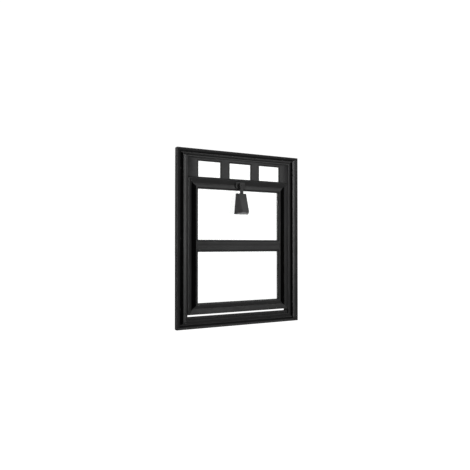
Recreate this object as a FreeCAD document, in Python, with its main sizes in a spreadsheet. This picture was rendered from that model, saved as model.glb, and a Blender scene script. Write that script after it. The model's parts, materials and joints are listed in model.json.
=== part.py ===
import FreeCAD, Part
import os
import re
import math
import Sketcher

# Bottom-hung window sash with a crank, in its fixed frame under a glazed transom plate.
# Millimetres. +X to the right as seen from the room, +Y out through the wall, +Z up.
# The origin is the centre of the flange's back face, where the frame sits on the wall.

DIMENSIONS = {
    # fixed frame: the flange laps the wall, the body stands in the wall opening
    "frame_width": 756, "frame_height": 905, "jamb_width": 65, "head_height": 42.5,
    "sill_height": 45.5, "threshold_height": 15, "flange_lap": 33, "body_depth": 30,
    "corner_round": 7, "casing_out": 18, "valley_out": 3, "band_out": 12, "body_wall": 3,
    "rim_crest": 6, "rim_inner": 31, "band_start": 35, "band_crest": 55,
    # sash: a box section with a front lip that overhangs its sides
    "sash_width": 620, "sash_height": 690, "sash_gap": 10, "stile_width": 60, "rail_height": 56,
    "mid_rail": 62, "sash_back": 18, "lip_width": 8, "lip_back": 4, "ridge_out": 14.5,
    "ridge_crest": 5, "bevel_foot": 29,
    "rim_start": 33, "rim_out": 8.5, "rim_edge": 52, "light_lip_back": 3, "rebate": 50,
    # glass and its beads
    "glass_thick": 4, "gasket_thick": 1, "bead_width": 5, "block_length": 60,
    # transom plate above the sash
    "plate_out": 10, "plate_thick": 4, "plate_margin": 18, "plate_foot": 3,
    "opening_width": 128, "bar_width": 58, "transom_gap": 1.5, "web_thick": 2.5,
    "stop_front": 19.5, "stop_width": 13, "stop_drop": 20, "seal_thick": 1.2, "seal_width": 8,
    # pivot line of the sash and its two stays
    "pivot_rise": 25, "pivot_depth": 8, "pin_radius": 4, "running_gap": 0.05,
    "stay_length": 110, "arm_thick": 3, "arm_half": 8, "base_thick": 1.4, "track_depth": 5.5,
    # crank, pinion, racks and bolts; the teeth are one millimetre module
    "spindle_radius": 4, "pitch_radius": 9, "bolt_depth": 4.7, "bolt_radius": 4,
    "rack_depth": 4, "rack_back": 6.5, "rack_reach": 276, "rack_overrun": 24, "rack_top": 15.2,
    "bolt_tip": 300, "bolt_length": 40, "pillar_place": 18, "pillar_radius": 3,
    "gearbox_side": 26, "gearbox_rise": 15, "gearbox_front": 0.2, "gearbox_back": 8.2,
    "rose_side": 28, "rose_rise": 17, "rose_sink": 2.5, "hub_sink": 1.7, "hub_radius": 14,
    "neck_width": 19, "grip_top": 237, "grip_low": 127, "grip_back": 15.5, "cover_thick": 2,
    "grip_front": 68, "grip_rise": 10, "grip_top_depth": 28, "cover_inset": 1,
    "grip_top_back": 33, "grip_top_face": 24, "grip_foot_back": 44, "grip_foot_face": 20.5,
    # screws
    "wall_hole": 2.6, "wall_hole_inset": 28, "wall_hole_pitch": 350, "small_screw": 1.5,
    # corner keys inside the mitred members, and the screws through them
    "frame_key": 90, "frame_key_web": 25, "sash_key": 80, "sash_key_web": 30,
}
MODULE = 1.0
TEETH = 18
PRESSURE_ANGLE = math.radians(20)
BACKLASH = 0.3

doc = FreeCAD.newDocument("window_sash")
sizes = doc.addObject("Spreadsheet::Sheet", "sizes")
for row, (alias, value) in enumerate(DIMENSIONS.items(), start=1):
    sizes.set("A%d" % row, alias)
    sizes.set("B%d" % row, str(value))
    sizes.setAlias("B%d" % row, alias)
doc.recompute()

nodes = []


def dim(alias):
    return float(DIMENSIONS[alias])


def bound(text):
    """Point every alias in an expression at the sheet."""
    return re.sub(r"[a-z][a-z_]+", lambda word: "sizes." + word.group(), str(text))


def node(label, item):
    """Give a finished sub-part the label that names its file."""
    item.Label = label
    nodes.append(item)
    return item


def unnamed(kind, **links):
    item = doc.addObject(kind, "piece")
    for name, value in links.items():
        setattr(item, name, value)
    return item


def box(x, y, z):
    """A block between two limits on each axis, all bound to the sheet."""
    item = unnamed("Part::Box")
    for axis, side, limits in (("x", "Length", x), ("y", "Width", y), ("z", "Height", z)):
        low, high = (bound(limit) for limit in limits)
        item.setExpression("Placement.Base." + axis, low)
        item.setExpression(side, "(%s) - (%s)" % (high, low))
    return item


TURNS = {"x": FreeCAD.Rotation(FreeCAD.Vector(0, 1, 0), 90),
         "y": FreeCAD.Rotation(FreeCAD.Vector(1, 0, 0), -90),
         "z": FreeCAD.Rotation()}


def rod(axis, x, y, z, radius, length):
    """A cylinder from a point along +axis."""
    item = unnamed("Part::Cylinder")
    item.Placement = FreeCAD.Placement(FreeCAD.Vector(), TURNS[axis])
    for name, value in (("x", x), ("y", y), ("z", z)):
        item.setExpression("Placement.Base." + name, bound(value))
    item.setExpression("Radius", bound(radius))
    item.setExpression("Height", bound(length))
    return item


def screw(axis, x, y, z, radius, length, head=1.2, flip=False):
    """A countersunk screw: shank along +axis, with its head at the start (or the end)."""
    shank = rod(axis, x, y, z, radius, length)
    cone = unnamed("Part::Cone", Radius1=2.0 * DIMENSIONS["small_screw"], Height=head)
    cone.setExpression("Radius2", bound(radius))
    turn = TURNS[axis]
    start = {"x": x, "y": y, "z": z}
    if flip:
        turn = turn.multiply(FreeCAD.Rotation(FreeCAD.Vector(1, 0, 0), 180))
        start[axis] = "(%s) + (%s)" % (start[axis], length)
    cone.Placement = FreeCAD.Placement(FreeCAD.Vector(), turn)
    for name, value in start.items():
        cone.setExpression("Placement.Base." + name, bound(value))
    return fuse(shank, cone)


def fuse(*items):
    return unnamed("Part::MultiFuse", Shapes=list(items))


def group(*items):
    return unnamed("Part::Compound", Links=list(items))


def cut(base, *tools):
    tool = tools[0] if len(tools) == 1 else fuse(*tools)
    return unnamed("Part::Cut", Base=base, Tool=tool)


def mirror(item, normal=(1, 0, 0), base=(0, 0, 0)):
    return unnamed("Part::Mirroring", Source=item, Normal=normal, Base=base)


def both(item):
    """The piece and its mirror image across the window's middle."""
    return group(item, mirror(item))


def plane(body, role):
    return [item for item in body.Origin.OriginFeatures if item.Role == role][0]


def outline(body, role, loops):
    """A sketch of closed polygons; every corner is held to the origin by two bound distances."""
    sketch = body.newObject("Sketcher::SketchObject", "outline")
    sketch.AttachmentSupport = (plane(body, role), [""])
    sketch.MapMode = "FlatFace"
    for loop in loops:
        ends = [(bound(a), bound(b)) for a, b in loop]
        spots = [FreeCAD.Vector(float(sketch.evalExpression(a)), float(sketch.evalExpression(b)), 0)
                 for a, b in ends]
        first = sketch.GeometryCount
        count = len(spots)
        for i in range(count):
            sketch.addGeometry(Part.LineSegment(spots[i], spots[(i + 1) % count]), False)
        for i in range(count):
            edge = first + i
            following = first + (i + 1) % count
            sketch.addConstraint(Sketcher.Constraint("Coincident", edge, 2, following, 1))
            for kind, place, expression in (("DistanceX", spots[i].x, ends[i][0]),
                                            ("DistanceY", spots[i].y, ends[i][1])):
                held = sketch.addConstraint(Sketcher.Constraint(kind, -1, 1, edge, 1, place))
                sketch.setExpression("Constraints[%d]" % held, expression)
    return sketch


def bar(role, loops, length):
    """A straight extrusion of an outline, half to each side of its plane."""
    body = doc.addObject("PartDesign::Body", "body")
    sketch = outline(body, role, loops)
    pad = body.newObject("PartDesign::Pad", "pad")
    pad.Profile = sketch
    pad.Midplane = True
    pad.setExpression("Length", bound(length))
    return body


# ---- fixed frame -------------------------------------------------------------------------

LEFT = "-frame_width / 2"
TOP = "frame_height / 2"
INSIDE = "-frame_width / 2 + jamb_width"
SASH_LEFT = "-sash_width / 2"
SASH_LOW = "-frame_height / 2 + sill_height + threshold_height + sash_gap"
SASH_HIGH = SASH_LOW + " + sash_height"
BOX_SIDE = "-sash_width / 2 + lip_width"


def frame_section(step):
    """Casing section: (distance in from the outer edge, y). Rim, valley, band, then the body."""
    shape = [("0", "0"), ("0", "-casing_out + 4"), ("1.2", "-casing_out + 1.2"), ("4", "-casing_out"),
             ("rim_crest", "-casing_out"), ("rim_inner", "-valley_out"), ("band_start", "-valley_out"),
             ("band_crest", "-band_out"),
             ("jamb_width", "-band_out"), ("jamb_width", "body_depth"),
             ("flange_lap", "body_depth"), ("flange_lap", "0")]
    hollow = [("flange_lap + body_wall", "1"), ("jamb_width - body_wall", "1"),
              ("jamb_width - body_wall", "body_depth - body_wall"),
              ("flange_lap + body_wall", "body_depth - body_wall")]
    return [[step(a, y) for a, y in loop] for loop in (shape, hollow)]


def mitre_blank(edge, inner, width, height, upright):
    """Trapezium prism that a mitred member keeps: full length outside, shorter inside."""
    half_w = "(%s) / 2" % width
    half_h = "(%s) / 2" % height
    if upright:
        low_in, high_in = inner
        points = [("-" + half_w, "-" + half_h), ("-" + half_w, half_h),
                  ("-%s + %s" % (half_w, edge), "%s - %s" % (half_h, high_in)),
                  ("-%s + %s" % (half_w, edge), "-%s + %s" % (half_h, low_in))]
    else:
        points = [("-" + half_w, half_h), (half_w, half_h),
                  ("%s - %s" % (half_w, inner), "%s - %s" % (half_h, edge)),
                  ("-%s + %s" % (half_w, inner), "%s - %s" % (half_h, edge))]
    return bar("XZ_Plane", [points], "4 * body_depth")


def frame_jamb():
    raw = bar("XY_Plane", frame_section(lambda a, y: ("%s + %s" % (LEFT, a), y)), "frame_height")
    blank = mitre_blank("jamb_width", ("sill_height", "head_height"), "frame_width", "frame_height",
                        True)
    return unnamed("Part::MultiCommon", Shapes=[raw, blank])


def frame_rail(depth, downward):
    """Head, or the sill as its mirror, with the casing section scaled to its own height."""
    def place(a, y):
        return (y, "%s - (%s) * %s / jamb_width" % (TOP, a, depth))
    raw = bar("YZ_Plane", frame_section(place), "frame_width")
    blank = mitre_blank(depth, "jamb_width", "frame_width", "frame_height", False)
    member = unnamed("Part::MultiCommon", Shapes=[raw, blank])
    return mirror(member, (0, 0, 1)) if downward else member


def corner_waste():
    """What rounding takes off the four outer corners."""
    square = box((LEFT + " - 1", LEFT + " + corner_round"), ("-2 * ridge_out", "body_depth"),
                 (TOP + " - corner_round", TOP + " + 1"))
    disc = rod("y", LEFT + " + corner_round", "-3 * ridge_out", TOP + " - corner_round",
               "corner_round", "5 * body_depth")
    corner = cut(square, disc)
    pair = both(corner)
    return group(pair, mirror(pair, (0, 0, 1)))


def corner_key(reach, inset_x, inset_z, span_x, span_z, y, left, top):
    """Flat L-shaped key that joins two mitred members inside their hollows."""
    x0 = "%s + %s" % (left, inset_x)
    z0 = "%s - (%s)" % (top, inset_z)
    level = box((x0, "%s + %s" % (x0, reach)), y, ("%s - (%s)" % (z0, span_z), z0))
    upright = box((x0, "%s + %s" % (x0, span_x)), y, ("%s - %s" % (z0, reach), z0))
    return fuse(level, upright)


waste = corner_waste()
wall_holes = [rod("y", LEFT + " + wall_hole_inset", "-2 * ridge_out", z, "wall_hole", "3 * ridge_out")
              for z in ("-wall_hole_pitch", "0", "wall_hole_pitch")]
PIVOT_Z = SASH_LOW + " + pivot_rise"
STAY_Z = PIVOT_Z + " + stay_length"
BOLT_Z = SASH_HIGH + " - rail_height / 2"

plate_screws = []
for height in (PIVOT_Z + " + 17", PIVOT_Z + " + 27", STAY_Z + " - 13", STAY_Z + " - 22",
               BOLT_Z + " - 15", BOLT_Z + " + 15"):
    thick = "base_thick" if "stay_length" in height else "2"
    plate_screws.append(screw("x", INSIDE + " - 5", "pivot_depth", height, "small_screw",
                              "5 + " + thick, flip=True))
hardware = group(*plate_screws)
pivot_pin = rod("x", INSIDE + " - body_wall", "pivot_depth", PIVOT_Z, "pin_radius",
                "body_wall + 22")
bolt_port = rod("x", INSIDE + " - body_wall - 1", "bolt_depth", BOLT_Z, "bolt_radius + 0.8",
                "body_wall + 6")



def frame_key(height, web):
    """Key for one corner of the frame, whose level leg lies in a member of the stated height."""
    inset = "(flange_lap + body_wall + 0.8) * %s / jamb_width" % height
    return corner_key("frame_key", "flange_lap + body_wall + 0.5", inset, "frame_key_web", web,
                      ("body_depth - 11", "body_depth - 4"), LEFT, TOP)


frame_keys = frame_key("head_height", "15.5")
sill_keys = mirror(frame_key("sill_height", "16.5"), (0, 0, 1))
key_screws = []
for sign, top in (("-", "head_height"), ("+", "sill_height")):
    edge = TOP if sign == "-" else "-frame_height / 2"
    for x, z in ((INSIDE + " - 16", "%s %s 95" % (edge, sign)),
                 (INSIDE + " + 40", "%s %s %s * 0.74" % (edge, sign, top))):
        key_screws.append(screw("y", x, "body_depth - 10", z, "small_screw", "10", flip=True))
frame_key_screws = group(*key_screws)

HEAD_LOW = TOP + " - head_height"
TRANSOM_GLASS_BACK = "-plate_out + plate_thick + gasket_thick + glass_thick"
transom_screws = [screw("x", INSIDE + " - 5", TRANSOM_GLASS_BACK + " + 5", HEAD_LOW + " - " + drop,
                        "small_screw", "5 + bead_width", flip=True) for drop in ("20", "75")]

jamb_tools = wall_holes + [hardware, pivot_pin, bolt_port, frame_key_screws, waste] + transom_screws
jamb = cut(frame_jamb(), *jamb_tools)
node("frame_jamb_left", jamb)
node("frame_jamb_right", mirror(jamb))
key_screws_all = both(frame_key_screws)
node("frame_head", cut(frame_rail("head_height", False), waste, key_screws_all))
node("frame_sill", cut(frame_rail("sill_height", True), waste, key_screws_all))
node("frame_corner_keys", cut(both(group(frame_keys, sill_keys)), key_screws_all))
node("frame_corner_screws", key_screws_all)

THRESHOLD_LOW = "-frame_height / 2 + sill_height"
node("sill_threshold", bar("YZ_Plane", [[
    ("-5", THRESHOLD_LOW), ("-5", THRESHOLD_LOW + " + threshold_height - 2"),
    ("-3", THRESHOLD_LOW + " + threshold_height"),
    ("body_depth", THRESHOLD_LOW + " + threshold_height - 3"), ("body_depth", THRESHOLD_LOW)]],
    "frame_width - 2 * jamb_width"))

# ---- transom -----------------------------------------------------------------------------

PLATE_LOW = SASH_HIGH + " + transom_gap"
plate_y = ("-plate_out", "-plate_out + plate_thick")
plate = box((INSIDE, "-(%s)" % INSIDE), plate_y, (PLATE_LOW, HEAD_LOW))
windows = []
for place in (-1, 0, 1):
    middle = "%d * (opening_width + bar_width)" % place
    windows.append(box((middle + " - opening_width / 2", middle + " + opening_width / 2"),
                       ("-2 * plate_out", "plate_out"),
                       (PLATE_LOW + " + plate_foot", HEAD_LOW + " - plate_margin")))
node("transom_plate", cut(plate, *windows))
SHELF = PLATE_LOW + " + web_thick"
node("transom_bar", bar("YZ_Plane", [[
    ("-plate_out + plate_thick", PLATE_LOW), ("stop_front", PLATE_LOW),
    ("stop_front", PLATE_LOW + " - stop_drop"), ("body_depth", PLATE_LOW + " - stop_drop"),
    ("body_depth", SHELF), ("-plate_out + plate_thick", SHELF)]], "frame_width - 2 * jamb_width"))
glass_y = ("-plate_out + plate_thick + gasket_thick", TRANSOM_GLASS_BACK)
node("transom_glass", box((INSIDE + " + 3", "-(%s) - 3" % INSIDE), glass_y,
                          (SHELF + " + 0.5", HEAD_LOW + " - 3")))
gasket_y = ("-plate_out + plate_thick", "-plate_out + plate_thick + gasket_thick")
UNDER_BEAD = HEAD_LOW + " - bead_width"
side_strip = box((INSIDE + " + 1", INSIDE + " + bead_width"), gasket_y, (SHELF, UNDER_BEAD))
top_strip = box((INSIDE + " + 1", "-(%s) - 1" % INSIDE), gasket_y, (UNDER_BEAD, HEAD_LOW + " - 1"))
node("transom_gasket", group(both(side_strip), top_strip))
bead_y = (TRANSOM_GLASS_BACK, TRANSOM_GLASS_BACK + " + 10")
side_bead = box((INSIDE, INSIDE + " + bead_width"), bead_y, (SHELF, HEAD_LOW))
top_bead = box((INSIDE + " + bead_width", "-(%s) - bead_width" % INSIDE), bead_y,
               (UNDER_BEAD, HEAD_LOW))
transom_screw_set = both(group(*transom_screws))
node("transom_beads", cut(group(both(side_bead), top_bead), transom_screw_set))
node("transom_screws", transom_screw_set)

# ---- stops, seal and fixed hardware on the jambs --------------------------------------------

stop_low = PIVOT_Z + " + 11"
stop = box((INSIDE, INSIDE + " + stop_width"), ("stop_front", "body_depth"),
           (stop_low, PLATE_LOW + " - stop_drop"))
node("stop_strips", both(stop))
seal_y = ("stop_front - seal_thick", "stop_front")
side_seal = box((INSIDE + " + 4", INSIDE + " + 4 + seal_width"), seal_y,
                (stop_low, PLATE_LOW + " - stop_drop + 4"))
top_seal = box((INSIDE + " + 4", "-(%s) - 4" % INSIDE), seal_y,
               (PLATE_LOW + " - stop_drop + 4", PLATE_LOW + " - stop_drop + 4 + seal_width"))
node("weather_seal", group(both(side_seal), top_seal))

KEEPER_SIDE = INSIDE + " + 2"
keeper_plate = box((INSIDE, KEEPER_SIDE), ("-3", "pivot_depth + 8"), (BOLT_Z + " - 21", BOLT_Z + " + 21"))
keeper = cut(keeper_plate, bolt_port, hardware)
node("bolt_keepers", both(keeper))
bracket_disc = rod("x", INSIDE, "pivot_depth", PIVOT_Z, "11", "2")
bracket_tail = box((INSIDE, KEEPER_SIDE), ("pivot_depth - 8", "pivot_depth + 8"),
                   (PIVOT_Z, PIVOT_Z + " + 34"))
node("pivot_brackets", both(cut(fuse(bracket_disc, bracket_tail), pivot_pin, hardware)))
node("pivot_pins", both(pivot_pin))
stay_post = rod("x", INSIDE + " + base_thick", "pivot_depth", STAY_Z, "pin_radius", "4.2")
stay_head = rod("x", INSIDE + " + base_thick + arm_thick + 0.7", "pivot_depth", STAY_Z, "6", "0.8")
stay_plate = box((INSIDE, INSIDE + " + base_thick"), ("pivot_depth - 7", "pivot_depth + 7"),
                 (STAY_Z + " - 28", STAY_Z + " + 8"))
node("stay_bases", both(cut(fuse(stay_plate, stay_post, stay_head), hardware)))
node("hardware_screws", both(hardware))

# ---- stays: each arm swings on the jamb and its stud slides in the track on the sash ----------

ARM_X = INSIDE + " + base_thick + 0.3"
arm_bar = box((ARM_X, ARM_X + " + arm_thick"), ("pivot_depth - arm_half", "pivot_depth + arm_half"),
              (STAY_Z, STAY_Z + " + stay_length"))
STUD_Z = STAY_Z + " + stay_length"
arm_ends = [rod("x", ARM_X, "pivot_depth", z, "arm_half", "arm_thick") for z in (STAY_Z, STUD_Z)]
arm_bore = rod("x", ARM_X + " - 1", "pivot_depth", STAY_Z, "pin_radius + running_gap", "arm_thick + 2")
stud = rod("x", ARM_X + " + 0.5", "pivot_depth", STUD_Z, "3", "7")
arm = cut(fuse(arm_bar, *arm_ends), arm_bore, stud)
node("stay_arm_left", arm)
node("stay_arm_right", mirror(arm))
node("stay_stud_left", stud)
node("stay_stud_right", mirror(stud))

# ---- sash ----------------------------------------------------------------------------------


def sash_section(step):
    """Sash section: (distance in from the outer edge, y). Bevelled ridge, valley, glazing rim."""
    shape = [("0", "-lip_back"), ("0", "-ridge_out + 3"), ("1", "-ridge_out + 1"),
             ("3", "-ridge_out"), ("ridge_crest", "-ridge_out"), ("bevel_foot", "-valley_out"),
             ("rim_start", "-valley_out"), ("rim_edge - 4", "-rim_out"), ("rim_edge", "-rim_out"),
             ("stile_width - 3", "-valley_out"), ("stile_width", "-1"),
             ("stile_width", "light_lip_back"), ("rebate", "light_lip_back"),
             ("rebate", "sash_back"), ("lip_width", "sash_back"), ("lip_width", "-lip_back")]
    hollow = [("lip_width + 3", "0"), ("rebate - 3", "0"),
              ("rebate - 3", "sash_back - 3"), ("lip_width + 3", "sash_back - 3")]
    return [[step(a, y) for a, y in loop] for loop in (shape, hollow)]


SASH_MIDDLE = "(%s + sash_height / 2)" % SASH_LOW


def at_sash_height(item):
    """Lift a member modelled about z = 0 to the sash's own middle height."""
    carrier = unnamed("Part::Compound", Links=[item])
    carrier.setExpression("Placement.Base.z", bound(SASH_MIDDLE))
    return carrier


def sash_stile():
    raw = bar("XY_Plane", sash_section(lambda a, y: ("%s + %s" % (SASH_LEFT, a), y)), "sash_height")
    blank = mitre_blank("stile_width", ("rail_height", "rail_height"), "sash_width", "sash_height",
                        True)
    return at_sash_height(unnamed("Part::MultiCommon", Shapes=[raw, blank]))


def sash_rail(downward):
    def place(a, y):
        return (y, "sash_height / 2 - (%s) * rail_height / stile_width" % a)
    raw = bar("YZ_Plane", sash_section(place), "sash_width")
    blank = mitre_blank("rail_height", "stile_width", "sash_width", "sash_height", False)
    member = unnamed("Part::MultiCommon", Shapes=[raw, blank])
    return at_sash_height(mirror(member, (0, 0, 1)) if downward else member)




def sash_key(top):
    """Key for one upper corner of the sash, whose top edge is at the stated height."""
    return corner_key("sash_key", "lip_width + 3.5", "(lip_width + 3.5) * rail_height / stile_width",
                      "sash_key_web", "sash_key_web + 2", ("sash_back - 8.5", "sash_back - 3.5"),
                      SASH_LEFT, top)


top_key = sash_key(SASH_HIGH)
low_key = mirror(sash_key("-(%s)" % SASH_LOW), (0, 0, 1))
sash_key_screws = []
for edge, sign in ((SASH_HIGH, "-"), (SASH_LOW, "+")):
    for x, z in ((SASH_LEFT + " + 27", "%s %s 75" % (edge, sign)),
                 (SASH_LEFT + " + 75", "%s %s 28" % (edge, sign))):
        sash_key_screws.append(screw("y", x, "sash_back - 9", z, "small_screw", "9", flip=True))
sash_screws = both(group(*sash_key_screws))
pivot_bush_hole = rod("x", BOX_SIDE, "pivot_depth", PIVOT_Z, "6.5", "14")
bush_bore = rod("x", BOX_SIDE + " - 1", "pivot_depth", PIVOT_Z, "pin_radius + running_gap", "30")
bolt_hole = rod("x", BOX_SIDE + " - 1", "bolt_depth", BOLT_Z, "bolt_radius + running_gap", "20")
stile = cut(sash_stile(), sash_screws, pivot_bush_hole, bolt_hole)
node("sash_stile_left", stile)
node("sash_stile_right", mirror(stile))

ROSE_FRONT = "-ridge_out + rose_sink"
PILLARS = ("-pillar_place", "pillar_place")
rose_screws = group(*[screw("y", x, ROSE_FRONT, BOLT_Z, "small_screw", "ridge_out + 6") for x in PILLARS])
spindle_hole = rod("y", "0", "-2 * ridge_out", BOLT_Z, "spindle_radius + 0.4", "3 * ridge_out")
top_rail = cut(sash_rail(False), sash_screws, spindle_hole, rose_screws)
node("sash_top_rail", top_rail)
node("sash_bottom_rail", cut(sash_rail(True), sash_screws))
node("sash_corner_keys", cut(both(group(top_key, low_key)), sash_screws, both(pivot_bush_hole)))
node("sash_corner_screws", sash_screws)
MID_TOP = SASH_MIDDLE + " + mid_rail / 2"
MID_LOW = SASH_MIDDLE + " - mid_rail / 2"
mid_points = [("light_lip_back", "0"), ("-1", "0"), ("-valley_out", "3"), ("-rim_out", "10")]
mid_shape = [(y, "%s - %s" % (MID_TOP, drop)) for y, drop in mid_points]
mid_shape += [(y, "%s + %s" % (MID_LOW, rise)) for y, rise in reversed(mid_points)]
mid_shape += [("light_lip_back", MID_LOW + " + 10"), ("sash_back", MID_LOW + " + 10"),
              ("sash_back", MID_TOP + " - 10"), ("light_lip_back", MID_TOP + " - 10")]
mid_hollow = [("-3", MID_LOW + " + 13"), ("sash_back - 3", MID_LOW + " + 13"),
              ("sash_back - 3", MID_TOP + " - 13"), ("-3", MID_TOP + " - 13")]
mid_raw = bar("YZ_Plane", [mid_shape, mid_hollow], "sash_width - 2 * rim_edge")
node("sash_mid_rail", cut(mid_raw, sash_stile(), mirror(sash_stile())))

# ---- glass, gaskets, beads and setting blocks ---------------------------------------------------

LIGHTS = ((SASH_LOW + " + rail_height", MID_LOW), (MID_TOP, SASH_HIGH + " - rail_height"))
LIGHT_SIDE = "-sash_width / 2 + stile_width"
GLASS_FRONT = "light_lip_back + gasket_thick"
GLASS_BACK = GLASS_FRONT + " + glass_thick"
glass_sheets, gaskets, beads, blocks = [], [], [], []


def ring(x, y, z, thick):
    """Four strips round a rectangle, each lapping only its own side."""
    low, high = z
    side = box((x, "%s + %s" % (x, thick)), y, z)
    strip = [box(("%s + %s" % (x, thick), "-(%s + %s)" % (x, thick)), y, span)
             for span in ((low, "%s + %s" % (low, thick)), ("%s - %s" % (high, thick), high))]
    return [both(side)] + strip


for low, high in LIGHTS:
    glass_side, glass_height = LIGHT_SIDE + " - 6.5", (low + " - 6", high + " + 6")
    glass_sheets.append(box((glass_side, "-(%s)" % glass_side), (GLASS_FRONT, GLASS_BACK), glass_height))
    gaskets += ring(glass_side, ("light_lip_back", GLASS_FRONT), glass_height, "6")
    gaskets += ring(glass_side, (GLASS_BACK, GLASS_BACK + " + gasket_thick"), glass_height, "3")
    beads += ring(LIGHT_SIDE + " - 9.5", (GLASS_BACK + " + gasket_thick", "sash_back - 0.5"),
                  (low + " - 9", high + " + 9"), "bead_width")
    for x in ("-180", "180"):
        blocks.append(box((x + " - block_length / 2", x + " + block_length / 2"),
                          (GLASS_FRONT, GLASS_BACK), (low + " - 9", low + " - 6")))
node("sash_glass_lower", glass_sheets[0])
node("sash_glass_upper", glass_sheets[1])
node("sash_gaskets", group(*gaskets))
node("sash_beads", group(*beads))
node("setting_blocks", group(*blocks))
node("pivot_bushes", both(cut(pivot_bush_hole, bush_bore)))

TRACK_X = "-sash_width / 2 + lip_width - track_depth"
track = box((TRACK_X, BOX_SIDE), ("pivot_depth - 7", "pivot_depth + 7"),
            (STUD_Z + " - 56", STUD_Z + " + 14"))
slot = box((TRACK_X + " - 1", BOX_SIDE + " - 1"), ("pivot_depth - 3.3", "pivot_depth + 3.3"),
           (STUD_Z + " - 45", STUD_Z + " + 4"))
node("stay_tracks", both(cut(track, slot)))

# ---- crank, pinion, racks and bolts --------------------------------------------------------------

axle_z = float(sizes.evalExpression(bound(BOLT_Z)))


def involute(radius_base, radius):
    """Angle swept by the involute from its base circle out to a radius."""
    turn = math.sqrt(max((radius / radius_base) ** 2 - 1, 0))
    return turn - math.atan(turn)


def pinion_face():
    """Outline of the pinion, with one tooth pointing straight up, in the XZ plane."""
    pitch = MODULE * TEETH / 2
    base = pitch * math.cos(PRESSURE_ANGLE)
    tip = pitch + 0.8 * MODULE
    root = pitch - 1.3 * MODULE
    half_tooth = (math.pi * MODULE / 2 - BACKLASH) / 2 / pitch + involute(base, pitch)
    flank_steps = 5
    flank = []
    for step in range(flank_steps):
        radius = base + (tip - base) * step / (flank_steps - 1)
        flank.append((radius, half_tooth - involute(base, radius)))
    points = []
    for tooth in range(TEETH):
        middle = math.pi / 2 + 2 * math.pi * tooth / TEETH
        rising = [(root, half_tooth)] + flank
        outline_points = [(r, middle - a) for r, a in rising]
        outline_points += [(r, middle + a) for r, a in reversed(rising)]
        for radius, angle in outline_points:
            points.append(FreeCAD.Vector(radius * math.cos(angle), 0, radius * math.sin(angle)))
    points.append(points[0])
    return Part.Face(Part.makePolygon(points))


def shaped(label, shape, place):
    """A sub-part made with the kernel's own functions, then placed."""
    item = doc.addObject("Part::Feature", "piece")
    item.Shape = shape
    item.Placement = place
    return node(label, item)


RACK_FRONT = dim("rack_back") - dim("rack_depth")
pinion = pinion_face().extrude(FreeCAD.Vector(0, dim("rack_depth") + 0.6, 0))
pinion = pinion.cut(Part.makeCylinder(dim("spindle_radius"), 20, FreeCAD.Vector(0, -5, 0),
                                      FreeCAD.Vector(0, 1, 0)))
shaped("drive_pinion", pinion, FreeCAD.Placement(FreeCAD.Vector(0, RACK_FRONT - 0.3, axle_z),
                                                 FreeCAD.Rotation()))


def rack_outline(bar_left, bar_right, bar_top):
    """Toothed bar above the pinion, teeth down, with a space centred over the pinion."""
    pitch = math.pi * MODULE
    line = dim("pitch_radius")
    tip, root = line - 0.8 * MODULE, line + 1.3 * MODULE
    slope = math.tan(PRESSURE_ANGLE)
    half_tooth = (pitch / 2 - BACKLASH) / 2
    points = [(bar_left, bar_top), (bar_left, root)]
    for tooth in range(-2, 7):
        middle = (tooth + 0.5) * pitch
        for side in (-1, 1):
            edges = [(middle + side * (half_tooth + (root - line) * slope), root),
                     (middle + side * (half_tooth - (line - tip) * slope), tip)]
            points += edges if side < 0 else edges[::-1]
    return points + [(bar_right, root), (bar_right, bar_top)]


def rack_bar():
    points = rack_outline(-dim("rack_reach"), dim("rack_overrun"), dim("rack_top"))
    corners = [FreeCAD.Vector(x, 0, z) for x, z in points + points[:1]]
    rack = Part.Face(Part.makePolygon(corners)).extrude(FreeCAD.Vector(0, dim("rack_depth"), 0))
    yoke_low = 2
    yoke_place = FreeCAD.Vector(-dim("rack_reach"), -1.2, yoke_low)
    yoke = Part.makeBox(10, 6.5, dim("rack_top") - yoke_low, yoke_place)
    bolt_start = FreeCAD.Vector(-dim("bolt_tip"), dim("bolt_depth") - RACK_FRONT, 0)
    bolt = Part.makeCylinder(dim("bolt_radius"), dim("bolt_length"), bolt_start, FreeCAD.Vector(1, 0, 0))
    return rack.fuse(yoke).cut(bolt), bolt


rack, bolt = rack_bar()
seat = FreeCAD.Placement(FreeCAD.Vector(0, RACK_FRONT, axle_z), FreeCAD.Rotation())
far_seat = FreeCAD.Placement(FreeCAD.Vector(0, RACK_FRONT, axle_z),
                             FreeCAD.Rotation(FreeCAD.Vector(0, 1, 0), 180))
shaped("bolt_rack_left", rack, seat)
shaped("bolt_left", bolt, seat)
shaped("bolt_rack_right", rack.copy(), far_seat)
shaped("bolt_right", bolt.copy(), far_seat)

plate_holes = [rod("y", "0", "-20", BOLT_Z, "spindle_radius + running_gap", "60"), rose_screws]
pillars = [rod("y", x, "gearbox_front", BOLT_Z, "pillar_radius", "gearbox_back + 2 - gearbox_front")
           for x in PILLARS]
for name, front, thick in (("front", "gearbox_front", "1.5"), ("back", "gearbox_back", "2")):
    plate = box(("-gearbox_side", "gearbox_side"), (front, "%s + %s" % (front, thick)),
                (BOLT_Z + " - gearbox_rise", BOLT_Z + " + gearbox_rise"))
    node("gearbox_%s_plate" % name, cut(plate, *plate_holes, *pillars))
node("gearbox_pillars", cut(group(*pillars), rose_screws))
guide = box((BOX_SIDE + " + 3", BOX_SIDE + " + 10"), ("0", "bolt_depth * 2"),
            (BOLT_Z + " - bolt_radius * 2", BOLT_Z + " + bolt_radius * 2"))
node("bolt_guides", both(cut(guide, bolt_hole)))
rose_block = box(("-rose_side", "rose_side"), (ROSE_FRONT, "-valley_out"),
                 (BOLT_Z + " - rose_rise", BOLT_Z + " + rose_rise"))
node("crank_rose", cut(rose_block, sash_rail(False), spindle_hole, rose_screws))
node("rose_screws", rose_screws)

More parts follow.
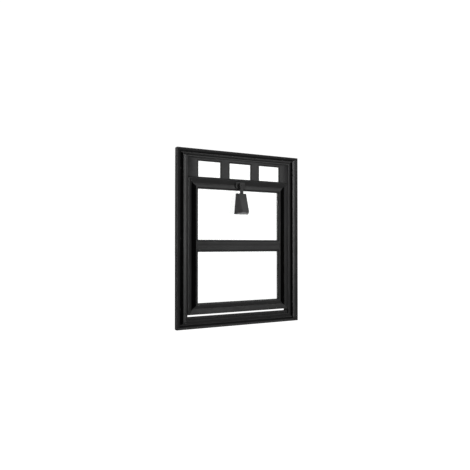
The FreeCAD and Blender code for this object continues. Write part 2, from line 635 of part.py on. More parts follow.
ARM_FRONT = "-grip_back - cover_thick - 8"
spindle = rod("y", "0", "-grip_back - 5", BOLT_Z, "spindle_radius", "grip_back + 16")
hub = rod("y", "0", ARM_FRONT, BOLT_Z, "hub_radius", "-(%s) - ridge_out + hub_sink" % ARM_FRONT)
neck = box(("-neck_width / 2", "neck_width / 2"), (ARM_FRONT, ARM_FRONT + " + 6"),
           ("grip_top - 20", BOLT_Z))
crank_screw = screw("y", "0", ARM_FRONT + " - 1.5", BOLT_Z, "small_screw", "8", head=1.5)
node("crank_spindle", spindle)
node("crank_arm", cut(fuse(hub, neck), spindle, crank_screw))
node("crank_screw", cut(crank_screw, spindle))


GRIP_SEAT = -(dim("grip_back") + dim("cover_thick"))


def grip_outline(half_back, half_front, depth, height):
    """Trapezium section of the handle, back edge wider than the front edge."""
    spots = [(-half_back, GRIP_SEAT), (half_back, GRIP_SEAT), (half_front, -depth), (-half_front, -depth)]
    return Part.makePolygon([FreeCAD.Vector(x, y, height) for x, y in spots + spots[:1]])


def grip_shape():
    """Bell-shaped handle: thin and narrow at the top, deep and wide at its tilted foot."""
    top, low, front = dim("grip_top"), dim("grip_low"), -dim("grip_front")
    solid = Part.makeLoft([
        grip_outline(dim("grip_top_back"), dim("grip_top_face"), dim("grip_top_depth"), top),
        grip_outline(dim("grip_foot_back"), dim("grip_foot_face"), dim("grip_front"), low)], True, True)
    waste = 5
    corners = ((GRIP_SEAT, low), (front - waste, low + dim("grip_rise") * 1.1),
               (front - waste, low - waste), (GRIP_SEAT, low - waste), (GRIP_SEAT, low))
    wedge = Part.makePolygon([FreeCAD.Vector(-50, y, z) for y, z in corners])
    foot = Part.Face(wedge).extrude(FreeCAD.Vector(100, 0, 0))
    pocket = Part.makeBox(28, 20, 60, FreeCAD.Vector(-14, GRIP_SEAT - 20, low + 18))
    return solid.cut(foot).cut(pocket)


def cover_shape():
    """Flat plate that closes the back of the handle."""
    inset = dim("cover_inset")
    top_half, foot_half = dim("grip_top_back") - inset / 2, dim("grip_foot_back") - inset
    top, low = dim("grip_top") - inset, dim("grip_low") + inset
    corners = ((-top_half, top), (top_half, top), (foot_half, low), (-foot_half, low), (-top_half, top))
    edge = Part.makePolygon([FreeCAD.Vector(x, GRIP_SEAT, z) for x, z in corners])
    return Part.Face(edge).extrude(FreeCAD.Vector(0, dim("cover_thick"), 0))


grip = unnamed("Part::Feature", Shape=grip_shape())
cover = unnamed("Part::Feature", Shape=cover_shape())
cover_screws = group(*[screw("y", "0", "-grip_back - 9", z, "small_screw", "9", flip=True)
                       for z in ("grip_low + 12", "grip_top - 26")])
node("crank_grip", cut(grip, neck, cover_screws))
node("grip_cover", cut(cover, cover_screws))
node("cover_screws", cover_screws)

# ---- check and write ---------------------------------------------------------------------------

doc.recompute()
faults = [item.Name + " " + item.Label for item in doc.Objects
          if {"Invalid", "Error"} & set(item.State)]
faults += [item.Label for item in nodes if item.Shape.isNull() or not item.Shape.isValid()]
if faults:
    raise RuntimeError("failed: " + ", ".join(faults))
os.makedirs("parts", exist_ok=True)
for item in nodes:
    item.Shape.exportStep(os.path.join("parts", item.Label + ".step"))
    print(item.Label, len(item.Shape.Solids), "solids", round(item.Shape.Volume / 1000, 1), "cm3")
print(len(nodes), "nodes")
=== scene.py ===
"""Window sash with crank: mouldings, crank, fasteners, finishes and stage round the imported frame."""
import json
import math

import bmesh
import bpy
from mathutils import Matrix, Vector

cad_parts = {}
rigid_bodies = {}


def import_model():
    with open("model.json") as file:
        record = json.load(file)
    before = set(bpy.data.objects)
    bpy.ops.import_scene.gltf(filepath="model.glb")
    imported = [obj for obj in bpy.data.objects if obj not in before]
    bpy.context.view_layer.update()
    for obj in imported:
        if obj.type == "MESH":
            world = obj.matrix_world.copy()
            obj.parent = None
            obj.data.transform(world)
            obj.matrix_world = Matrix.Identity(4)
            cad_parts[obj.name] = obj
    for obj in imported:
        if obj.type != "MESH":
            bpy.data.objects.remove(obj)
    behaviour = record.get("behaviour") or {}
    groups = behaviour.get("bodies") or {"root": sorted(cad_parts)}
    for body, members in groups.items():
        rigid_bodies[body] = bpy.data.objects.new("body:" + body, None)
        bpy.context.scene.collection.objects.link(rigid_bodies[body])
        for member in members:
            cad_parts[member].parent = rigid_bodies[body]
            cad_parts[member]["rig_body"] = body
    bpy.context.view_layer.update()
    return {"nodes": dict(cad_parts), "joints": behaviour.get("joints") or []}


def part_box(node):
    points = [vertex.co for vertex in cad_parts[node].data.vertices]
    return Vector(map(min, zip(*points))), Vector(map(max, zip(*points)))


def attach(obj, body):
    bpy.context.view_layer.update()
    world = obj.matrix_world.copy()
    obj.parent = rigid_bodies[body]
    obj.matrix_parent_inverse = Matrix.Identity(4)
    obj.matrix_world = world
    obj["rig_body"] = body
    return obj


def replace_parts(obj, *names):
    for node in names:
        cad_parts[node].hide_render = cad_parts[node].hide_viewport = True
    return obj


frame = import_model()

bl_info = {
    "name": "Window Sash with Crank",
    "version": (1, 0, 0),
    "blender": (4, 5, 0),
    "location": "View3D > Sidebar > Window Sash",
    "description": "Builds the visible mouldings, crank, fasteners and finishes of a bottom-hung window sash",
    "category": "Object",
}

MM = 0.001


# ---- places, all read from the frame ---------------------------------------

def span(node, axis):
    """Lowest and highest coordinate of a CAD node along one axis (0, 1 or 2)."""
    low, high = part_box(node)
    return low[axis], high[axis]


FRAME_LEFT, FRAME_INSIDE = span("frame_jamb_left", 0)
FRAME_LOW = span("frame_sill", 2)[0]
HEAD_LOW, FRAME_TOP = span("frame_head", 2)
SILL_TOP = span("frame_sill", 2)[1]
FRAME_FRONT, FRAME_BACK = span("frame_jamb_left", 1)
SASH_LEFT, STILE_INSIDE = span("sash_stile_left", 0)
SASH_LOW, SASH_TOP = span("sash_stile_left", 2)
SASH_FRONT, SASH_BACK = span("sash_stile_left", 1)
RAIL_LOW = span("sash_top_rail", 2)[0]
JAMB = FRAME_INSIDE - FRAME_LEFT
STILE = STILE_INSIDE - SASH_LEFT
RAIL = SASH_TOP - RAIL_LOW
AXLE = (span("drive_pinion", 2)[0] + span("drive_pinion", 2)[1]) / 2
PIVOT = Vector(next(j for j in frame["joints"] if j["name"] == "sash_tilt")["pos_m"])
BOLT_Y = sum(span("bolt_left", 1)) / 2
BOLT_RADIUS = (span("bolt_left", 1)[1] - span("bolt_left", 1)[0]) / 2

# ---- sizes and names that several pieces share -----------------------------

LAP = 33 * MM                       # width of the casing's flange on the wall
REBATE = 50 * MM                    # from a sash member's outer edge to its glazing rebate
VALLEY_OUT = -3 * MM                # floor of the valley in both mouldings
VALLEY_SHADE_DEPTHS = (-6.5 * MM, -2.4 * MM)     # depths between which the valley takes the darkened coat that paints shade there
AXLE_HOLE = 4.6 * MM
COAT = "satin black coat"
# the plain coat, then a darkened copy of it that paints shade into the valleys of jambs and stiles
COAT_AND_PAINTED_SHADE = (COAT, "shaded black coat")
FACING_ROOM = Matrix.Rotation(math.radians(-90), 4, "X")


# ---- sizes and colours a user would change ---------------------------------

class SashMouldingSettings(bpy.types.PropertyGroup):
    """Shape of the casing and the sash mouldings."""

    cove_depth: bpy.props.FloatProperty(
        name="Cove Depth", description="How far the casing's rim dips into a cove below its chord",
        default=1.6 * MM, min=0, max=4 * MM, subtype="DISTANCE", unit="LENGTH")
    joint_gap: bpy.props.FloatProperty(
        name="Joint Groove", description="Width and depth of the fine groove at each mitred joint",
        default=0.35 * MM, min=0, max=2 * MM, subtype="DISTANCE", unit="LENGTH")
    corner_radius: bpy.props.FloatProperty(
        name="Corner Radius", description="Rounding of the casing's four outer corners",
        default=7 * MM, min=1 * MM, max=20 * MM, subtype="DISTANCE", unit="LENGTH")
    edge_radius: bpy.props.FloatProperty(
        name="Edge Radius", description="Rounding along the edges of plates and flat pieces",
        default=0.8 * MM, min=0.1 * MM, max=3 * MM, subtype="DISTANCE", unit="LENGTH")


class SashCrankSettings(bpy.types.PropertyGroup):
    """Shape of the crank handle."""

    grip_edge: bpy.props.FloatProperty(
        name="Grip Edge", description="Rounding of the handle's long edges",
        default=2.2 * MM, min=0.2 * MM, max=5 * MM, subtype="DISTANCE", unit="LENGTH")
    neck_edge: bpy.props.FloatProperty(
        name="Neck Edge", description="Rounding of the neck and hub",
        default=1.2 * MM, min=0.2 * MM, max=3 * MM, subtype="DISTANCE", unit="LENGTH")


class SashScrewSettings(bpy.types.PropertyGroup):
    """Fasteners that show on the window."""

    head_radius: bpy.props.FloatProperty(
        name="Head Radius", description="Radius of a screw head",
        default=3.1 * MM, min=1 * MM, max=6 * MM, subtype="DISTANCE", unit="LENGTH")
    head_height: bpy.props.FloatProperty(
        name="Head Height", description="How far a screw head stands proud",
        default=0.9 * MM, min=0.1 * MM, max=3 * MM, subtype="DISTANCE", unit="LENGTH")


class SashFinishSettings(bpy.types.PropertyGroup):
    """Colours and roughness of the finishes."""

    coat_colour: bpy.props.FloatVectorProperty(
        name="Coat Colour", description="Satin black powder coat", subtype="COLOR", size=3,
        default=(0.007, 0.007, 0.0072), min=0, max=1)
    worn_colour: bpy.props.FloatVectorProperty(
        name="Worn Colour", description="Coat polished thin along its crests", subtype="COLOR", size=3,
        default=(0.014, 0.014, 0.0145), min=0, max=1)
    coat_roughness: bpy.props.FloatProperty(
        name="Coat Roughness", description="Roughness of the powder coat",
        default=0.42, min=0.05, max=1, subtype="FACTOR")
    handle_colour: bpy.props.FloatVectorProperty(
        name="Handle Colour", description="Moulded crank handle", subtype="COLOR", size=3,
        default=(0.024, 0.024, 0.0245), min=0, max=1)
    rubber_colour: bpy.props.FloatVectorProperty(
        name="Rubber Colour", description="Seals and gaskets", subtype="COLOR", size=3,
        default=(0.009, 0.009, 0.009), min=0, max=1)


class SashStageSettings(bpy.types.PropertyGroup):
    """Camera, lights and backdrop."""

    camera_place: bpy.props.FloatVectorProperty(
        name="Camera Place", description="Where the camera stands", subtype="TRANSLATION", size=3,
        default=(-1.698, -2.639, -0.031), unit="LENGTH")
    camera_yaw: bpy.props.FloatProperty(
        name="Camera Yaw", description="Turn of the view from square on to the window",
        default=math.radians(32.34), subtype="ANGLE", unit="ROTATION")
    camera_pitch: bpy.props.FloatProperty(
        name="Camera Pitch", description="Tilt of the view above level",
        default=math.radians(0.93), subtype="ANGLE", unit="ROTATION")
    lens: bpy.props.FloatProperty(
        name="Lens", description="Focal length on a 36 mm sensor, in millimetres",
        default=45.62, min=10, max=200)
    backdrop_glow: bpy.props.FloatProperty(
        name="Backdrop Glow", description="How bright the backdrop looks; it doesn't change the lighting",
        default=1.05, min=0, max=50)
    world_fill: bpy.props.FloatProperty(
        name="World Fill", description="Strength of the even light from all round",
        default=0.07, min=0, max=5)
    floor_height: bpy.props.FloatProperty(
        name="Floor Height", description="Height of the stage floor under the window's middle",
        default=-1.35, subtype="DISTANCE", unit="LENGTH")


# ---- mesh helpers ----------------------------------------------------------

def linked(name, data):
    """A new object in the scene."""
    item = bpy.data.objects.new(name, data)
    bpy.context.scene.collection.objects.link(item)
    return item


def finished(name, mesh, body, slot_name, *materials):
    """Link a finished mesh, give it its materials, and let it ride on its body."""
    piece = linked(name, mesh)
    for material in materials:
        mesh.materials.append(bpy.data.materials[material])
    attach(piece, body)
    return piece


def smooth(mesh, angle=35):
    """Smooth shading that keeps the real arrises sharp."""
    mesh.shade_smooth()
    mesh.set_sharp_from_angle(angle=math.radians(angle))


def mesh_from(name, build):
    """A mesh filled by build(bm), with outward faces."""
    bm = bmesh.new()
    build(bm)
    bmesh.ops.remove_doubles(bm, verts=bm.verts, dist=1e-7)
    bmesh.ops.recalc_face_normals(bm, faces=bm.faces)
    mesh = bpy.data.meshes.new(name)
    bm.to_mesh(mesh)
    bm.free()
    return mesh


def settled(mesh, **modifiers):
    """The mesh after a bevel and a list of boolean cuts, with the modifiers applied."""
    work = linked("work", mesh)
    cutters = []
    for tool in modifiers.get("cuts", ()):
        cutter = linked("cutter", tool)
        cutters.append(cutter)
        carve = work.modifiers.new("carve", "BOOLEAN")
        carve.operation = modifiers.get("operation", "DIFFERENCE")
        carve.solver = "EXACT"
        carve.use_self = True
        carve.object = cutter
    if modifiers.get("bevel"):
        bevel = work.modifiers.new("bevel", "BEVEL")
        bevel.width = modifiers["bevel"]
        bevel.segments = modifiers.get("segments", 3)
        bevel.limit_method = "ANGLE"
        bevel.angle_limit = math.radians(modifiers.get("limit", 40))
        bevel.use_clamp_overlap = True
    result = bpy.data.meshes.new_from_object(
        work.evaluated_get(bpy.context.evaluated_depsgraph_get()))
    for item in [work] + cutters:
        bpy.data.objects.remove(item)
    smooth(result)
    return result


def rod_mesh(start, direction, radius, length, sides=40):
    """A plain round bar, for a hole or a hub."""
    def build(bm):
        turn = Vector((0, 0, 1)).rotation_difference(Vector(direction)).to_matrix().to_4x4()
        middle = Vector(start) + Vector(direction) * length / 2
        bmesh.ops.create_cone(bm, cap_ends=True, segments=sides, radius1=radius, radius2=radius,
                              depth=length, matrix=Matrix.Translation(middle) @ turn)
    return mesh_from("rod", build)


def block_mesh(low, high):
    def build(bm):
        bmesh.ops.create_cube(bm, size=1)
        for vertex in bm.verts:
            vertex.co = Vector([low[i] + (vertex.co[i] + 0.5) * (high[i] - low[i]) for i in range(3)])
    return mesh_from("block", build)


def close_prism(bm, first, second):
    """Faces over both ends of two matching rings of vertices, then round their sides."""
    bm.faces.new(first)
    bm.faces.new(second)
    count = len(first)
    for i in range(count):
        bm.faces.new((first[i], first[(i + 1) % count], second[(i + 1) % count], second[i]))


def slab_mesh(points, axis, low, high):
    """A polygon pushed from one level to another along an axis; points are the other two axes."""
    def build(bm):
        rings = []
        for level in (low, high):
            ring = []
            for pair in points:
                place = list(pair)
                place.insert(axis, level)
                ring.append(bm.verts.new(place))
            rings.append(ring)
        close_prism(bm, *rings)
    return mesh_from("slab", build)


def arc(centre, radius, start, end, steps):
    """Points on an arc, angles in degrees."""
    angles = [math.radians(start + (end - start) * i / steps) for i in range(steps + 1)]
    return [(centre[0] + radius * math.cos(a), centre[1] + radius * math.sin(a)) for a in angles]


def eased(start, end, dip, steps=8):
    """A shallow curve between two points that bows by dip to the left of its chord."""
    points = []
    along = Vector(end) - Vector(start)
    left = Vector((-along.y, along.x)).normalized()
    for i in range(steps + 1):
        t = i / steps
        point = Vector(start) + along * t + left * dip * 4 * t * (1 - t)
        points.append((point.x, point.y))
    return points


def rounded_loop(corners, radius, steps=4):
    """A closed outline with each corner replaced by a small curve; a corner may state its own radius."""
    loop = []
    count = len(corners)
    for i, corner in enumerate(corners):
        here = Vector(corner[:2])
        own = corner[2] if len(corner) > 2 else radius
        before = Vector(corners[i - 1][:2]) - here
        after = Vector(corners[(i + 1) % count][:2]) - here
        reach = min(own, before.length * 0.45, after.length * 0.45)
        if reach < 1e-5:
            loop.append((here.x, here.y))
            continue
        first, last = here + before.normalized() * reach, here + after.normalized() * reach
        for step in range(steps + 1):
            t = step / steps
            point = first * (1 - t) ** 2 + here * 2 * t * (1 - t) + last * t ** 2
            loop.append((point.x, point.y))
    return loop


def shrunk(loop, depth):
    """The loop moved inwards by a small depth."""
    area = sum(a[0] * b[1] - b[0] * a[1] for a, b in zip(loop, loop[1:] + loop[:1]))
    turn = 1 if area > 0 else -1
    moved = []
    for i, point in enumerate(loop):
        along = Vector(loop[(i + 1) % len(loop)]) - Vector(loop[i - 1])
        inward = Vector((-along.y, along.x)).normalized() * turn if along.length else Vector((0, 0))
        moved.append((point[0] + inward.x * depth, point[1] + inward.y * depth))
    return moved


def mitred_member(name, loop, hollow, place, gap):
    """A moulding swept between two mitres.

    place(a, y, end, back) gives a point: a is the distance in from the outer edge, end is -1 or 1,
    back is how far short of the mitre it stops."""
    def build(bm):
        crisp = shrunk(loop, gap)
        rows = [(crisp, -1, 0), (loop, -1, gap), (loop, 1, gap), (crisp, 1, 0)]
        rings = [[bm.verts.new(place(a, y, end, back)) for a, y in points] for points, end, back in rows]
        tube = [[bm.verts.new(place(a, y, end, 0)) for a, y in hollow] for end in (-1, 1)]
        for first, second in list(zip(rings, rings[1:])) + [(tube[0], tube[1])]:
            count = len(first)
            for i in range(count):
                bm.faces.new((first[i], first[(i + 1) % count], second[(i + 1) % count], second[i]))
        for outer, inner in ((rings[0], tube[0]), (rings[-1], tube[1])):
            rim = []
            for ring in (outer, inner):
                rim += [bm.edges.get((ring[i], ring[(i + 1) % len(ring)])) for i in range(len(ring))]
            bmesh.ops.triangle_fill(bm, use_beauty=True, use_dissolve=False, edges=rim)
    return mesh_from(name, build)


def paint_valley_shade(mesh, low, high):
    """Give the second material to the faces that look forward from between two depths: the darkened coat that
    paints shade into the valley.
    """
    for face in mesh.polygons:
        if face.normal.y < -0.5 and low < face.center.y < high:
            face.material_index = 1


def sides(name, node_left, make, body, slot_name, *materials):
    """Build a left piece, mirror it for the right, and let both stand for their CAD nodes."""
    for side, sign in (("left", 1), ("right", -1)):
        mesh = make()
        if sign < 0:
            mesh.transform(Matrix.Scale(-1, 4, (1, 0, 0)))
            mesh.flip_normals()
        piece = finished(name + "_" + side, mesh, body, slot_name, *materials)
        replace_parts(piece, node_left.replace("left", side))


# ---- sections --------------------------------------------------------------

def casing_loop(settings):
    """Casing section (distance in from the edge, y): rim, cove, valley, sloped band, then the body."""
    crest, valley, band_out = FRAME_FRONT, VALLEY_OUT, -12 * MM
    cove = eased((6 * MM, crest + 0.3 * MM), (30 * MM, valley - 0.3 * MM), -settings.cove_depth)
    band = eased((37 * MM, valley - 1.5 * MM), (54 * MM, band_out + 0.4 * MM), 0.8 * MM)
    front = [(0, 0, 0.4 * MM), (0, crest + 4 * MM, 2.2 * MM), (2.4 * MM, crest, 2 * MM)]
    front += [(a, y, 0.9 * MM if i == 0 else 0) for i, (a, y) in enumerate(cove)]
    front += [(32 * MM, valley, 0.8 * MM), (35.5 * MM, valley, 0.6 * MM)]
    front += [(a, y, 0) for a, y in band]
    front += [(56 * MM, band_out, 1 * MM), (JAMB, band_out, 1.8 * MM), (JAMB, FRAME_BACK, 0.8 * MM),
              (LAP, FRAME_BACK, 0.8 * MM), (LAP, 0, 0.4 * MM)]
    return rounded_loop(front, 0.5 * MM)


def casing_hollow():
    """The closed space inside the casing's body."""
    wall = 3 * MM
    low, high = LAP + wall, JAMB - wall
    return [(low, MM), (high, MM), (high, FRAME_BACK - wall), (low, FRAME_BACK - wall)]


def sash_loop():
    """Sash section: bevelled ridge, valley, sloped glazing rim, rebate, and a box behind the lip."""
    ridge, valley, rim = SASH_FRONT, VALLEY_OUT, -8.5 * MM
    bevel = eased((5 * MM, ridge + 0.2 * MM), (28 * MM, valley - 0.3 * MM), -0.5 * MM, 6)
    front = [(0, -4 * MM, 0.4 * MM), (0, ridge + 2.5 * MM, 1.8 * MM), (2.6 * MM, ridge, 1.4 * MM)]
    front += [(a, y, 0.8 * MM if i == 0 else 0) for i, (a, y) in enumerate(bevel)]
    front += [(30 * MM, valley, 0.8 * MM), (33 * MM, valley, 0.6 * MM)]
    front += [(35 * MM, valley - 1.6 * MM, 0.8 * MM)]
    front += [(47.5 * MM, rim, 1.2 * MM), (51.5 * MM, rim, 1.2 * MM)]
    glass_face, box_side = 3 * MM, 8 * MM
    front += [(STILE - MM, -5 * MM, 0.8 * MM), (STILE, -3.5 * MM, 0.5 * MM)]
    front += [(STILE, glass_face, 0.3 * MM), (REBATE, glass_face, 0)]
    front += [(REBATE, SASH_BACK, 0.8 * MM), (box_side, SASH_BACK, 0.8 * MM), (box_side, -4 * MM, 0)]
    return rounded_loop(front, 0.5 * MM)


def sash_hollow():
    """The closed space inside the box behind the sash's lip."""
    outer, inner, depth = 11 * MM, REBATE - 3 * MM, 15 * MM
    return [(outer, 0), (inner, 0), (inner, depth), (outer, depth)]


# ---- finishes --------------------------------------------------------------

def grain_group():
    """Shared surface effect: fine grain, soft colour drift, handling marks and dust in one group."""
    tree = bpy.data.node_groups.new("surface grain", "ShaderNodeTree")
    sockets = (("Colour", "INPUT", "NodeSocketColor"), ("Second Colour", "INPUT", "NodeSocketColor"),
               ("Roughness", "INPUT", "NodeSocketFloat"), ("Roughness Spread", "INPUT", "NodeSocketFloat"),
               ("Grain Scale", "INPUT", "NodeSocketFloat"), ("Grain Height", "INPUT", "NodeSocketFloat"),
               ("Stretch", "INPUT", "NodeSocketVector"),
               ("Colour", "OUTPUT", "NodeSocketColor"), ("Roughness", "OUTPUT", "NodeSocketFloat"),
               ("Normal", "OUTPUT", "NodeSocketVector"))
    for name, way, kind in sockets:
        tree.interface.new_socket(name=name, in_out=way, socket_type=kind)
    add, link = tree.nodes.new, tree.links.new
    given, result = add("NodeGroupInput"), add("NodeGroupOutput")
    place = add("ShaderNodeTexCoord")
    stretch = add("ShaderNodeVectorMath")
    stretch.operation = "MULTIPLY"
    link(place.outputs["Object"], stretch.inputs[0])
    link(given.outputs["Stretch"], stretch.inputs[1])
    fine, broad, marks = (add("ShaderNodeTexNoise") for _ in range(3))
    fine.inputs["Detail"].default_value = 3
    link(given.outputs["Grain Scale"], fine.inputs["Scale"])
    link(stretch.outputs[0], fine.inputs["Vector"])
    for noise, scale, detail in ((broad, 7, 4), (marks, 46, 6)):
        noise.inputs["Scale"].default_value = scale
        noise.inputs["Detail"].default_value = detail
        link(place.outputs["Object"], noise.inputs["Vector"])
    drift = add("ShaderNodeMapRange")
    drift.inputs["From Min"].default_value = 0.42
    drift.inputs["From Max"].default_value = 0.75
    link(broad.outputs["Fac"], drift.inputs["Value"])
    mix = add("ShaderNodeMix")
    mix.data_type = "RGBA"
    link(drift.outputs["Result"], mix.inputs["Factor"])
    link(given.outputs["Colour"], mix.inputs["A"])
    link(given.outputs["Second Colour"], mix.inputs["B"])
    link(mix.outputs["Result"], result.inputs["Colour"])
    offset = add("ShaderNodeMath")
    offset.operation = "SUBTRACT"
    offset.inputs[1].default_value = 0.5
    link(marks.outputs["Fac"], offset.inputs[0])
    spread = add("ShaderNodeMath")
    spread.operation = "MULTIPLY_ADD"
    link(offset.outputs[0], spread.inputs[0])
    link(given.outputs["Roughness Spread"], spread.inputs[1])
    link(given.outputs["Roughness"], spread.inputs[2])
    link(spread.outputs[0], result.inputs["Roughness"])
    bump = add("ShaderNodeBump")
    bump.inputs["Strength"].default_value = 0.5
    link(fine.outputs["Fac"], bump.inputs["Height"])
    link(given.outputs["Grain Height"], bump.inputs["Distance"])
    link(bump.outputs["Normal"], result.inputs["Normal"])
    return tree


def finish_material(name, tree, colour, second, roughness, spread=0.1, scale=900, height=0.05 * MM,
                    stretch=(1, 1, 1), **plain):
    """A material on the shared grain; plain values are set on the shader's own sockets."""
    material = bpy.data.materials.new(name)
    material.use_nodes = True
    nodes, link = material.node_tree.nodes, material.node_tree.links.new
    shader = nodes["Principled BSDF"]
    grain = nodes.new("ShaderNodeGroup")
    grain.node_tree = tree
    grain.inputs["Colour"].default_value = tuple(colour) + (1,)
    grain.inputs["Second Colour"].default_value = tuple(second) + (1,)
    grain.inputs["Roughness"].default_value = roughness
    grain.inputs["Roughness Spread"].default_value = spread
    grain.inputs["Grain Scale"].default_value = scale
    grain.inputs["Grain Height"].default_value = height
    grain.inputs["Stretch"].default_value = stretch
    link(grain.outputs["Colour"], shader.inputs["Base Color"])
    link(grain.outputs["Roughness"], shader.inputs["Roughness"])
    link(grain.outputs["Normal"], shader.inputs["Normal"])
    for socket, value in plain.items():
        shader.inputs[socket.replace("_", " ")].default_value = value


class SASH_OT_finishes(bpy.types.Operator):
    """Make the finishes: powder coat, a darkened copy of it that paints shade into valleys, moulded handle,
    rubber, plated steel, nylon and glass.
    """

    bl_idname = "window_sash.finishes"
    bl_label = "Make Finishes"

    def execute(self, context):
        look = context.scene.sash_finishes
        tree = grain_group()
        coat, worn = look.coat_colour, look.worn_colour
        finish_material(COAT, tree, coat, worn, look.coat_roughness, 0.16, 1100, 0.06 * MM)
        # Painted shade: the coat darkened and dulled, laid in the valleys of jambs and stiles in place of
        # shadow.
        finish_material("shaded black coat", tree, [c * 0.12 for c in coat], [c * 0.2 for c in coat], 0.85,
                        0.1, 1100, 0.06 * MM, Specular_IOR_Level=0.04)
        finish_material("moulded black handle", tree, look.handle_colour,
                        [c * 1.5 for c in look.handle_colour], look.coat_roughness, 0.14, 620, 0.09 * MM)
        finish_material("seal rubber", tree, look.rubber_colour, [c * 1.8 for c in look.rubber_colour], 0.8,
                        0.12, 500, 0.08 * MM)
        finish_material("blackened screw", tree, [0.02] * 3, [0.05] * 3, 0.38, 0.2, 700, 0.04 * MM,
                        Metallic=0.6)
        finish_material("zinc plated steel", tree, (0.47, 0.48, 0.5), (0.6, 0.6, 0.59), 0.34, 0.2, 260,
                        0.03 * MM, (1, 1, 9), Metallic=1.0)
        finish_material("natural nylon", tree, (0.62, 0.6, 0.54), (0.7, 0.68, 0.62), 0.5, 0.1, 400)
        finish_material("clear float glass", tree, (0.985, 0.995, 0.99), (0.99, 1.0, 0.995), 0.012,
                        0.012, 18, 0.002 * MM, Transmission_Weight=1.0, IOR=1.45)
        return {"FINISHED"}


# ---- casing ----------------------------------------------------------------

def corner_cutters(radius, corners):
    """What rounding takes off the casing's outer corners; each corner is a pair of signs (x, z)."""
    outer, lead = 2 * MM, 0.02 * MM
    cutters = []
    for side, level in corners:
        edge = FRAME_TOP if level > 0 else FRAME_LOW
        x, z = side * (-FRAME_LEFT - radius), edge - level * radius
        curve = [(x + side * (c - x), z + level * (d - z))
                 for c, d in arc((x, z), radius + lead, 0, 90, 12)]
        curve += [(x, edge + level * outer), (side * (-FRAME_LEFT + outer), edge + level * outer),
                  (side * (-FRAME_LEFT + outer), z)]
        cutters.append(slab_mesh(curve, 1, FRAME_FRONT - outer, FRAME_BACK + outer))
    return cutters


class SASH_OT_casing(bpy.types.Operator):
    """Build the mitred casing: two jambs, head, sill and the threshold strip."""

    bl_idname = "window_sash.casing"
    bl_label = "Build Casing"

    def execute(self, context):
        settings = context.scene.sash_mouldings
        loop, hollow, gap = casing_loop(settings), casing_hollow(), settings.joint_gap
        head, sill = (FRAME_TOP - HEAD_LOW) / JAMB, (SILL_TOP - FRAME_LOW) / JAMB
        wall_hole_inset, wall_hole_pitch, wall_hole = 28 * MM, 350 * MM, 2.6 * MM
        bolt_clear, pin_hole, socket_depth, into_jamb = 0.8 * MM, 4.2 * MM, 10 * MM, 3.5 * MM

        def jamb():
            def place(a, y, end, back):
                top, low = FRAME_TOP - a * head - back, FRAME_LOW + a * sill + back
                return FRAME_LEFT + a, y, top if end > 0 else low
            cuts = corner_cutters(settings.corner_radius, ((-1, 1), (-1, -1)))
            for z in (-wall_hole_pitch, 0, wall_hole_pitch):
                cuts.append(rod_mesh((FRAME_LEFT + wall_hole_inset, FRAME_FRONT - MM, z), (0, 1, 0),
                                     wall_hole, 30 * MM, 24))
            start = FRAME_INSIDE - into_jamb
            cuts.append(rod_mesh((start, BOLT_Y, AXLE), (1, 0, 0), BOLT_RADIUS + bolt_clear, socket_depth))
            cuts.append(rod_mesh((start, PIVOT.y, PIVOT.z), (1, 0, 0), pin_hole, socket_depth))
            mesh = settled(mitred_member("casing jamb", loop, hollow, place, gap), cuts=cuts)
            # Painted shade: the jamb's valley faces take the darkened second coat.
            paint_valley_shade(mesh, *VALLEY_SHADE_DEPTHS)
            return mesh

        sides("casing_jamb", "frame_jamb_left", jamb, "frame", "black_casing", *COAT_AND_PAINTED_SHADE)
        self.hole_caps(wall_hole_inset, wall_hole_pitch)
        for name, level, scale in (("frame_head", 1, head), ("frame_sill", -1, sill)):
            edge = FRAME_TOP if level > 0 else FRAME_LOW

            def place(a, y, end, back):
                return end * (-FRAME_LEFT - a - back), y, edge - level * a * scale

            mesh = settled(mitred_member(name, loop, hollow, place, gap),
                           cuts=corner_cutters(settings.corner_radius, ((-1, level), (1, level))))
            piece = finished("casing_" + name[6:], mesh, "frame", "black_casing", COAT)
            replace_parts(piece, name)
        low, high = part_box("sill_threshold")
        nose, fall = 1.5 * MM, 3 * MM
        points = rounded_loop([(low.y, low.z), (low.y, high.z - nose, 1.2 * MM),
                               (low.y + fall, high.z, 1.5 * MM), (high.y, high.z - fall),
                               (high.y, low.z)], 0.5 * MM)
        piece = finished("threshold_strip", slab_mesh(points, 0, low.x, high.x), "frame", "black_casing",
                         COAT)
        smooth(piece.data)
        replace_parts(piece, "sill_threshold")
        return {"FINISHED"}

    def hole_caps(self, inset, pitch):
        """Low round caps that close the six fixing holes in the valley of the jambs."""
        wide, narrow, front, thick = 3.9 * MM, 3.2 * MM, -4.6 * MM, 2.4 * MM

        def build(bm):
            for side in (-1, 1):
                for z in (-pitch, 0, pitch):
                    place = Vector((side * (-FRAME_LEFT - inset), front + thick / 2, z))
                    bmesh.ops.create_cone(bm, cap_ends=True, segments=32, radius1=narrow, radius2=wide,
                                          depth=thick, matrix=Matrix.Translation(place) @ FACING_ROOM)
        mesh = mesh_from("caps", build)
        smooth(mesh)
        finished("fixing_hole_caps", mesh, "frame", "black_casing", COAT)


# ---- transom ---------------------------------------------------------------

